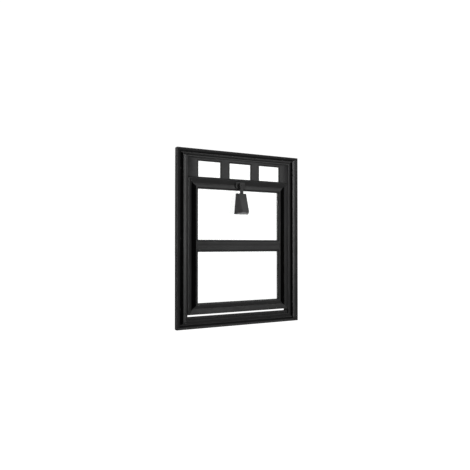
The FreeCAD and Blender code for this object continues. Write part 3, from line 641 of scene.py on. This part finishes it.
class SASH_OT_transom(bpy.types.Operator):
    """Build the plate with its three chamfered openings."""

    bl_idname = "window_sash.transom"
    bl_label = "Build Transom"

    def execute(self, context):
        edge = context.scene.sash_mouldings.edge_radius
        low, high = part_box("transom_plate")
        opening, bar = 128 * MM, 58 * MM
        foot, margin = low.z + 3 * MM, high.z - 18 * MM
        splay, depth = 7 * MM, (high.y - low.y) - 0.8 * MM
        cuts = []
        for place in (-1, 0, 1):
            left = place * (opening + bar) - opening / 2
            cuts.append(block_mesh((left, low.y - MM, foot), (left + opening, high.y + MM, margin)))

            def frustum(bm, left=left):
                rings = []
                for y, grow in ((low.y - 0.01 * MM, splay), (low.y + depth, 0)):
                    corners = ((left - grow, foot), (left + opening + grow, foot),
                               (left + opening + grow, margin + grow), (left - grow, margin + grow))
                    rings.append([bm.verts.new((x, y, z)) for x, z in corners])
                close_prism(bm, *rings)

            cuts.append(mesh_from("splay", frustum))
        mesh = settled(block_mesh(low, high), cuts=cuts, bevel=edge * 0.4, segments=2, limit=15)
        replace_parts(finished("transom_face", mesh, "frame", "black_casing", COAT),
                    "transom_plate")
        return {"FINISHED"}


# ---- sash ------------------------------------------------------------------

class SASH_OT_sash(bpy.types.Operator):
    """Build the sash mouldings: two stiles, top and bottom rails, and the mid rail."""

    bl_idname = "window_sash.sash"
    bl_label = "Build Sash"

    def execute(self, context):
        settings = context.scene.sash_mouldings
        loop, hollow, gap = sash_loop(), sash_hollow(), settings.joint_gap
        scale = RAIL / STILE

        def stile():
            def place(a, y, end, back):
                inset = a * scale + back
                return SASH_LEFT + a, y, SASH_TOP - inset if end > 0 else SASH_LOW + inset
            side, bush_hole, bolt_clear = SASH_LEFT + 7 * MM, 6.7 * MM, 0.3 * MM
            cuts = [rod_mesh((side, PIVOT.y, PIVOT.z), (1, 0, 0), bush_hole, 15 * MM),
                    rod_mesh((side, BOLT_Y, AXLE), (1, 0, 0), BOLT_RADIUS + bolt_clear, 12 * MM)]
            mesh = settled(mitred_member("sash stile", loop, hollow, place, gap), cuts=cuts)
            # Painted shade: the stile's valley faces take the darkened second coat.
            paint_valley_shade(mesh, *VALLEY_SHADE_DEPTHS)
            return mesh

        sides("stile", "sash_stile_left", stile, "sash", "black_casing", *COAT_AND_PAINTED_SHADE)
        for name, level in (("sash_top_rail", 1), ("sash_bottom_rail", -1)):
            edge = SASH_TOP if level > 0 else SASH_LOW

            def place(a, y, end, back):
                return end * (-SASH_LEFT - a - back), y, edge - level * a * scale

            cuts = [rod_mesh((0, FRAME_FRONT, AXLE), (0, 1, 0), AXLE_HOLE, 20 * MM)] if level > 0 else []
            mesh = settled(mitred_member(name, loop, hollow, place, gap), cuts=cuts)
            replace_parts(finished(name[5:], mesh, "sash", "black_casing", COAT), name)
        self.mid_rail()
        return {"FINISHED"}

    def mid_rail(self):
        """The flat bar between the lights, grooved along its middle, with a box behind it."""
        low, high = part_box("sash_mid_rail")
        middle, half = (low.z + high.z) / 2, (high.z - low.z) / 2
        slope = [(-7.6 * MM, half - 9.6 * MM), (-3.2 * MM, half - 3.4 * MM)]
        face = [(3 * MM, half, 0), (-1 * MM, half, 0.7 * MM)]
        face += [(y, z, 1.2 * MM) for y, z in reversed(slope)]
        face += [(-8 * MM, half - 10.6 * MM, 1 * MM)]
        groove = 6 * MM
        face += [(-8 * MM, groove + MM, 0.4 * MM), (-7 * MM, groove, 0.4 * MM)]
        face += [(y, -z, r) for y, z, r in reversed(face)]
        points = [(y, middle + z) for y, z in rounded_loop(face, 0.4 * MM)]
        web = half - 10 * MM
        back = [(2.5 * MM, middle - web), (2.5 * MM, middle + web),
                (SASH_BACK, middle + web, 0.8 * MM), (SASH_BACK, middle - web, 0.8 * MM)]
        mesh = slab_mesh(points, 0, low.x, high.x)
        box_part = slab_mesh(rounded_loop(back, 0.2 * MM), 0, SASH_LEFT + REBATE, -SASH_LEFT - REBATE)
        mesh = settled(mesh, cuts=[box_part], operation="UNION")
        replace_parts(finished("mid_rail", mesh, "sash", "black_casing", COAT), "sash_mid_rail")


# ---- crank -----------------------------------------------------------------

class SASH_OT_crank(bpy.types.Operator):
    """Build the rose, the hub with its neck, the bell-shaped grip and its back cover."""

    bl_idname = "window_sash.crank"
    bl_label = "Build Crank"

    def execute(self, context):
        settings = context.scene.sash_crank
        self.rose(context.scene.sash_mouldings.edge_radius)
        self.arm(settings.neck_edge)
        self.grip(settings.grip_edge)
        return {"FINISHED"}

    def rose(self, edge):
        """The cover on the top rail that the crank turns in."""
        low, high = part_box("crank_rose")
        radius = 6 * MM
        outline = []
        corners = ((high.x, high.z, 0), (low.x, high.z, 90), (low.x, low.z, 180), (high.x, low.z, 270))
        for x, z, start in corners:
            centre = (x - math.copysign(radius, x), z - math.copysign(radius, z - AXLE))
            outline += arc(centre, radius, start, start + 90, 8)
        mesh = settled(slab_mesh(outline, 1, low.y, high.y), bevel=edge * 2, segments=4, limit=50,
                       cuts=[rod_mesh((0, low.y - MM, AXLE), (0, 1, 0), AXLE_HOLE, 20 * MM)])
        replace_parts(finished("rose", mesh, "sash", "black_casing", COAT), "crank_rose")

    def arm(self, edge):
        """The hub round the axle, with the neck that the grip hangs from."""
        low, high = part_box("crank_arm")
        radius, half_neck, plate_depth = (high.x - low.x) / 2, 9.5 * MM, 6 * MM
        hub_start = 5 * MM
        meet = math.degrees(math.asin(half_neck / radius))
        outline = arc((0, AXLE), radius, -90 + meet, 270 - meet, 40)
        fillet = 5 * MM
        waist = outline[0][1] - fillet
        outline = outline[1:-1]
        outline += [(-half_neck, waist), (-half_neck, low.z), (half_neck, low.z), (half_neck, waist)]
        plate = slab_mesh(outline, 1, low.y, low.y + plate_depth)
        hub = rod_mesh((0, low.y + hub_start, AXLE), (0, 1, 0), radius - MM,
                       high.y - low.y - hub_start, 64)
        mesh = settled(settled(plate, cuts=[hub], operation="UNION"), bevel=edge, segments=3, limit=50)
        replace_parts(finished("hub_and_neck", mesh, "crank", "black_casing", COAT), "crank_arm")

    def grip(self, edge):
        """The bell-shaped grip, wider and deeper towards its foot, and its flat back."""
        low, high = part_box("crank_grip")
        top_half, front_half, foot_half, foot_front = 33 * MM, 24 * MM, high.x, 20.5 * MM
        rise, slope = 10 * MM, 40 * MM

        def build(bm):
            top = [(-top_half, high.y, high.z), (top_half, high.y, high.z),
                   (front_half, low.y + slope, high.z), (-front_half, low.y + slope, high.z)]
            foot = [(-foot_half, high.y, low.z), (foot_half, high.y, low.z),
                    (foot_front, low.y, low.z + rise), (-foot_front, low.y, low.z + rise)]
            rings = [[bm.verts.new(p) for p in ring] for ring in (top, foot)]
            close_prism(bm, *rings)

        mesh = settled(mesh_from("grip", build), bevel=edge, segments=5, limit=20)
        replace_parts(finished("grip", mesh, "crank", "grip_black", "moulded black handle"), "crank_grip")
        cover_low, cover_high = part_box("grip_cover")
        inset = 0.6 * MM
        outline = [(-top_half + inset, cover_high.z), (top_half - inset, cover_high.z),
                   (cover_high.x - inset, cover_low.z), (cover_low.x + inset, cover_low.z)]
        cover = settled(slab_mesh(outline, 1, cover_low.y, cover_high.y), bevel=0.5 * MM, segments=3)
        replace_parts(finished("grip_back", cover, "crank", "grip_black", "moulded black handle"), "grip_cover")


# ---- fasteners -------------------------------------------------------------

def screw_tree():
    """Cross-recessed screws on points, pointing where each point's own direction says."""
    tree = bpy.data.node_groups.new("screws", "GeometryNodeTree")
    tree.interface.new_socket(name="Seats", in_out="INPUT", socket_type="NodeSocketGeometry")
    for name in ("Head Radius", "Head Height", "Shank Radius", "Shank Length"):
        tree.interface.new_socket(name=name, in_out="INPUT", socket_type="NodeSocketFloat")
    tree.interface.new_socket(name="Finish", in_out="INPUT", socket_type="NodeSocketMaterial")
    tree.interface.new_socket(name="Screws", in_out="OUTPUT", socket_type="NodeSocketGeometry")
    add, link = tree.nodes.new, tree.links.new
    given, result = add("NodeGroupInput"), add("NodeGroupOutput")

    def maths(operation, first, second):
        item = add("ShaderNodeMath")
        item.operation = operation
        for socket, value in zip(item.inputs, (first, second)):
            if isinstance(value, (int, float)):
                socket.default_value = value
            else:
                link(value, socket)
        return item.outputs[0]

    def moved(geometry, height):
        shift, lift = add("GeometryNodeTransform"), add("ShaderNodeCombineXYZ")
        link(height, lift.inputs["Z"])
        link(geometry, shift.inputs["Geometry"])
        link(lift.outputs[0], shift.inputs["Translation"])
        return shift.outputs["Geometry"]

    top, slot_length, slot_width, slot_level = 0.8, 1.15, 0.26, 0.85
    radius, height = given.outputs["Head Radius"], given.outputs["Head Height"]
    head = add("GeometryNodeMeshCone")
    head.inputs["Vertices"].default_value = 20
    link(maths("MULTIPLY", radius, top), head.inputs["Radius Top"])
    link(radius, head.inputs["Radius Bottom"])
    link(height, head.inputs["Depth"])
    cutters = add("GeometryNodeJoinGeometry")
    for long_side in ("X", "Y"):
        slot, size = add("GeometryNodeMeshCube"), add("ShaderNodeCombineXYZ")
        for axis in ("X", "Y"):
            share = slot_length if axis == long_side else slot_width
            link(maths("MULTIPLY", radius, share), size.inputs[axis])
        link(height, size.inputs["Z"])
        link(size.outputs[0], slot.inputs["Size"])
        link(moved(slot.outputs["Mesh"], maths("MULTIPLY", height, slot_level)), cutters.inputs[0])
    recess = add("GeometryNodeMeshBoolean")
    recess.operation = "DIFFERENCE"
    link(head.outputs["Mesh"], recess.inputs["Mesh 1"])
    link(cutters.outputs[0], recess.inputs["Mesh 2"])
    shank = add("GeometryNodeMeshCylinder")
    shank.inputs["Vertices"].default_value = 12
    link(given.outputs["Shank Radius"], shank.inputs["Radius"])
    link(given.outputs["Shank Length"], shank.inputs["Depth"])
    both = add("GeometryNodeJoinGeometry")
    link(recess.outputs["Mesh"], both.inputs[0])
    half_down = maths("MULTIPLY", given.outputs["Shank Length"], -0.5)
    link(moved(shank.outputs["Mesh"], half_down), both.inputs[0])
    facing = add("GeometryNodeInputNamedAttribute")
    facing.data_type = "FLOAT_VECTOR"
    facing.inputs["Name"].default_value = "facing"
    aligned = add("FunctionNodeAlignRotationToVector")
    link(facing.outputs["Attribute"], aligned.inputs["Vector"])
    spread = add("GeometryNodeInstanceOnPoints")
    link(given.outputs["Seats"], spread.inputs["Points"])
    link(both.outputs[0], spread.inputs["Instance"])
    link(aligned.outputs["Rotation"], spread.inputs["Rotation"])
    real, paint = add("GeometryNodeRealizeInstances"), add("GeometryNodeSetMaterial")
    link(spread.outputs["Instances"], real.inputs["Geometry"])
    link(real.outputs["Geometry"], paint.inputs["Geometry"])
    link(given.outputs["Finish"], paint.inputs["Material"])
    link(paint.outputs["Geometry"], result.inputs["Screws"])
    return tree


def screw_seats(node):
    """For each screw in a CAD node: the middle of its head's face and the way that face looks."""
    bm = bmesh.new()
    bm.from_mesh(frame["nodes"][node].data)
    bmesh.ops.remove_doubles(bm, verts=bm.verts, dist=1e-6)
    seats, seen = [], set()
    for start in bm.verts:
        if start in seen:
            continue
        island, queue = [], [start]
        seen.add(start)
        while queue:
            vertex = queue.pop()
            island.append(vertex.co.copy())
            for edge in vertex.link_edges:
                other = edge.other_vert(vertex)
                if other not in seen:
                    seen.add(other)
                    queue.append(other)
        low = Vector([min(p[i] for p in island) for i in range(3)])
        high = Vector([max(p[i] for p in island) for i in range(3)])
        size = high - low
        axis = max(range(3), key=lambda i: size[i])
        middle = (low + high) / 2
        reach = []
        for level in (low[axis], high[axis]):
            near = [p for p in island if abs(p[axis] - level) < 1e-5]
            reach.append(max(math.dist([p[i] for i in range(3) if i != axis],
                                       [middle[i] for i in range(3) if i != axis]) for p in near))
        facing = Vector((0, 0, 0))
        facing[axis] = 1 if reach[1] > reach[0] else -1
        middle[axis] = high[axis] if reach[1] > reach[0] else low[axis]
        seats.append((middle, facing, size[axis]))
    bm.free()
    return seats


class SASH_OT_fasteners(bpy.types.Operator):
    """Set a cross-recessed screw on every screw seat of the frame, the sash and the crank."""

    bl_idname = "window_sash.fasteners"
    bl_label = "Set Fasteners"

    def execute(self, context):
        settings = context.scene.sash_screws
        tree = screw_tree()
        groups = (("frame_corner_screws", "frame"), ("hardware_screws", "frame"), ("transom_screws", "frame"),
                  ("sash_corner_screws", "sash"), ("rose_screws", "sash"), ("crank_screw", "crank"),
                  ("cover_screws", "crank"))
        for node, body in groups:
            seats = screw_seats(node)
            cloud = bpy.data.meshes.new(node)
            cloud.from_pydata([place for place, _, _ in seats], [], [])
            facing = cloud.attributes.new("facing", "FLOAT_VECTOR", "POINT")
            for item, (_, way, _) in zip(facing.data, seats):
                item.vector = way
            holder = linked("seats", cloud)
            modifier = holder.modifiers.new("screws", "NODES")
            modifier.node_group = tree
            low_head = node in ("hardware_screws", "cover_screws")
            values = {"Head Radius": settings.head_radius,
                      "Head Height": settings.head_height * (0.4 if low_head else 1),
                      "Shank Radius": 1.5 * MM, "Shank Length": min(length for _, _, length in seats),
                      "Finish": bpy.data.materials["blackened screw"]}
            for socket in tree.interface.items_tree:
                if socket.in_out == "INPUT" and socket.name in values:
                    modifier[socket.identifier] = values[socket.name]
            mesh = bpy.data.meshes.new_from_object(
                holder.evaluated_get(context.evaluated_depsgraph_get()))
            bpy.data.objects.remove(holder)
            smooth(mesh)
            piece = finished(node + "_set", mesh, body, "black_steel")
            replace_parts(piece, node)
        return {"FINISHED"}


# ---- glazing beads ---------------------------------------------------------

def strips_mesh(strips, edge):
    """Straight strips, each with its own eased edges, in one mesh."""
    bm = bmesh.new()
    for low, high in strips:
        bm.from_mesh(settled(block_mesh(low, high), bevel=edge, segments=3))
    mesh = bpy.data.meshes.new("beads")
    bm.to_mesh(mesh)
    bm.free()
    smooth(mesh)
    return mesh


def framed(low, high, width, foot=True):
    """Four strips round a rectangle, or three where it has no foot; the uprights run full height."""
    gap = 0.15 * MM
    inner_low, inner_high = low.x + width + gap, high.x - width - gap
    strips = [(low, (low.x + width, high.y, high.z)), ((high.x - width, low.y, low.z), high),
              ((inner_low, low.y, high.z - width), (inner_high, high.y, high.z))]
    if foot:
        strips.append(((inner_low, low.y, low.z), (inner_high, high.y, low.z + width)))
    return strips


class SASH_OT_beads(bpy.types.Operator):
    """Build the glazing beads behind the two lights and behind the transom glass."""

    bl_idname = "window_sash.beads"
    bl_label = "Build Beads"

    def execute(self, context):
        edge = context.scene.sash_mouldings.edge_radius
        width, lap = 5 * MM, 9 * MM
        low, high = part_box("sash_beads")
        mid_low, mid_high = span("sash_mid_rail", 2)
        strips = framed(low, Vector((high.x, high.y, mid_low + lap)), width)
        strips += framed(Vector((low.x, low.y, mid_high - lap)), high, width)
        piece = finished("sash_bead_strips", strips_mesh(strips, edge), "sash", "black_casing",
                         COAT)
        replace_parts(piece, "sash_beads")
        low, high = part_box("transom_beads")
        strips = framed(low, high, width, foot=False)
        piece = finished("transom_bead_strips", strips_mesh(strips, edge), "frame", "black_casing",
                         COAT)
        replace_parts(piece, "transom_beads")
        return {"FINISHED"}


# ---- plain pieces: eased edges on the larger ones, finishes on the rest ----

SOFTENED = {
    COAT: ("black_casing", 0.8 * MM, ("transom_bar", "stop_strips")),
    "zinc plated steel": ("zinc_steel", 0.25 * MM, (
        "stay_arm_left", "stay_arm_right", "stay_tracks", "pivot_brackets", "stay_bases", "bolt_keepers")),
    "natural nylon": ("bush_plastic", 0.3 * MM, ("bolt_guides",)),
}
KEPT = {
    "clear float glass": ("sash_glass_lower", "sash_glass_upper", "transom_glass"),
    "seal rubber": ("sash_gaskets", "transom_gasket", "weather_seal", "setting_blocks"),
    "natural nylon": ("pivot_bushes",),
    "zinc plated steel": (
        "frame_corner_keys", "sash_corner_keys", "gearbox_front_plate", "gearbox_back_plate",
        "gearbox_pillars", "crank_spindle", "drive_pinion", "bolt_rack_left", "bolt_rack_right",
        "bolt_left", "bolt_right", "stay_stud_left", "stay_stud_right", "pivot_pins"),
}


def softened(node, width):
    """A CAD node's shape with its flat faces made whole again and its edges eased."""
    bm = bmesh.new()
    bm.from_mesh(frame["nodes"][node].data)
    bmesh.ops.remove_doubles(bm, verts=bm.verts, dist=1e-6)
    bmesh.ops.dissolve_limit(bm, angle_limit=math.radians(0.5), verts=bm.verts, edges=bm.edges)
    mesh = bpy.data.meshes.new(node)
    bm.to_mesh(mesh)
    bm.free()
    return settled(mesh, bevel=width, segments=2, limit=50)


class SASH_OT_dressing(bpy.types.Operator):
    """Ease the edges of the larger plain pieces, and give each remaining piece its own finish."""

    bl_idname = "window_sash.dressing"
    bl_label = "Dress Plain Pieces"

    def execute(self, context):
        for finish, (slot_name, width, names) in SOFTENED.items():
            for name in names:
                body = frame["nodes"][name]["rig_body"]
                piece = finished(name + "_eased", softened(name, width), body, slot_name, finish)
                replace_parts(piece, name)
        for finish, names in KEPT.items():
            for name in names:
                for holder in frame["nodes"][name].material_slots:
                    holder.material = bpy.data.materials[finish]
        return {"FINISHED"}


# ---- stage -----------------------------------------------------------------

# name, place, aim height, size, spread in degrees, power
LAMPS = (("right", (2.4, -3.6, 0.9), 0.5, 2.4, 44, 2.6),
         ("left", (-2.6, -2.6, 0.6), 0.45, 2.0, 44, 8.8),
         ("high", (1.9, -2.3, 2.3), 0, 1.4, 180, 16),
         ("back", (-0.6, 3.2, 2.0), 0, 2.4, 180, 60),
         ("far side", (3.4, 1.6, 1.4), 0, 1.2, 180, 14))


class SASH_OT_stage(bpy.types.Operator):
    """Set the pale floor and backdrop, the soft studio lights and the camera."""

    bl_idname = "window_sash.stage"
    bl_label = "Set Stage"

    def execute(self, context):
        settings = context.scene.sash_stage
        self.backdrop(settings.floor_height, settings.backdrop_glow)
        self.lights(context, settings.backdrop_glow, settings.world_fill)
        context.scene.view_settings.view_transform = "Standard"
        self.camera(context, settings)
        return {"FINISHED"}

    def brighter_when_seen(self, tree, plain, seen):
        """A strength of plain for lighting, and of seen for rays to the eye, direct or through glass."""
        path = tree.nodes.new("ShaderNodeLightPath")
        either = tree.nodes.new("ShaderNodeMath")
        either.operation = "MAXIMUM"
        tree.links.new(path.outputs["Is Camera Ray"], either.inputs[0])
        tree.links.new(path.outputs["Is Transmission Ray"], either.inputs[1])
        strength = tree.nodes.new("ShaderNodeMapRange")
        strength.inputs["To Min"].default_value = plain
        strength.inputs["To Max"].default_value = seen
        tree.links.new(either.outputs[0], strength.inputs["Value"])
        return strength.outputs["Result"]

    def backdrop(self, floor, glow):
        material = bpy.data.materials.new("stage paper")
        material.use_nodes = True
        tree = material.node_tree
        shader = tree.nodes["Principled BSDF"]
        shader.inputs["Base Color"].default_value = (0.9, 0.9, 0.9, 1)
        shader.inputs["Roughness"].default_value = 0.9
        shader.inputs["Emission Color"].default_value = (1, 1, 1, 1)
        plain_glow, reach = 0.13, 60
        tree.links.new(self.brighter_when_seen(tree, plain_glow, glow), shader.inputs["Emission Strength"])

        def build(bm):
            bm.faces.new([bm.verts.new((x, y, floor)) for x, y in ((-reach, -reach), (reach, -reach),
                                                                  (reach, reach), (-reach, reach))])
        mesh = mesh_from("floor", build)
        mesh.materials.append(material)
        item = linked("stage_floor", mesh)

    def lights(self, context, glow, fill):
        world = bpy.data.worlds.new("studio")
        world.use_nodes = True
        tree = world.node_tree
        background = tree.nodes["Background"]
        background.inputs["Color"].default_value = (1, 1, 1, 1)
        tree.links.new(self.brighter_when_seen(tree, fill, glow), background.inputs["Strength"])
        context.scene.world = world
        for name, place, aim, size, spread, power in LAMPS:
            lamp = bpy.data.lights.new(name, "AREA")
            lamp.energy = power
            lamp.size = size
            lamp.spread = math.radians(spread)
            item = linked(name, lamp)
            item.location = place
            line = Vector((0, 0, aim)) - Vector(place)
            item.rotation_euler = line.to_track_quat("-Z", "Y").to_euler()

    def camera(self, context, settings):
        lens = bpy.data.cameras.new("camera")
        lens.lens = settings.lens
        lens.sensor_width = 36
        item = linked("camera", lens)
        item.location = settings.camera_place
        yaw, pitch = settings.camera_yaw, settings.camera_pitch
        aim = Vector((math.sin(yaw) * math.cos(pitch), math.cos(yaw) * math.cos(pitch), math.sin(pitch)))
        item.rotation_euler = aim.to_track_quat("-Z", "Y").to_euler()
        context.scene.camera = item


# ---- panel and registration ------------------------------------------------

OPERATORS = (SASH_OT_finishes, SASH_OT_casing, SASH_OT_transom, SASH_OT_sash, SASH_OT_crank,
             SASH_OT_beads, SASH_OT_fasteners, SASH_OT_dressing, SASH_OT_stage)
SETTINGS = {"sash_mouldings": SashMouldingSettings, "sash_crank": SashCrankSettings,
            "sash_screws": SashScrewSettings, "sash_finishes": SashFinishSettings,
            "sash_stage": SashStageSettings}


class SASH_PT_panel(bpy.types.Panel):
    """Lists the window's building steps."""

    bl_idname = "SASH_PT_panel"
    bl_label = "Window Sash"
    bl_space_type = "VIEW_3D"
    bl_region_type = "UI"
    bl_category = "Window Sash"

    def draw(self, context):
        for operator in OPERATORS:
            self.layout.operator(operator.bl_idname)


def register():
    for name, settings in SETTINGS.items():
        bpy.utils.register_class(settings)
        setattr(bpy.types.Scene, name, bpy.props.PointerProperty(type=settings))
    for item in OPERATORS + (SASH_PT_panel,):
        bpy.utils.register_class(item)


def unregister():
    for item in (SASH_PT_panel,) + OPERATORS[::-1]:
        bpy.utils.unregister_class(item)
    for name, settings in SETTINGS.items():
        delattr(bpy.types.Scene, name)
        bpy.utils.unregister_class(settings)


def main():
    register()
    for operator in OPERATORS:
        group, action = operator.bl_idname.split(".")
        getattr(getattr(bpy.ops, group), action)()


if __name__ == "__main__":
    main()
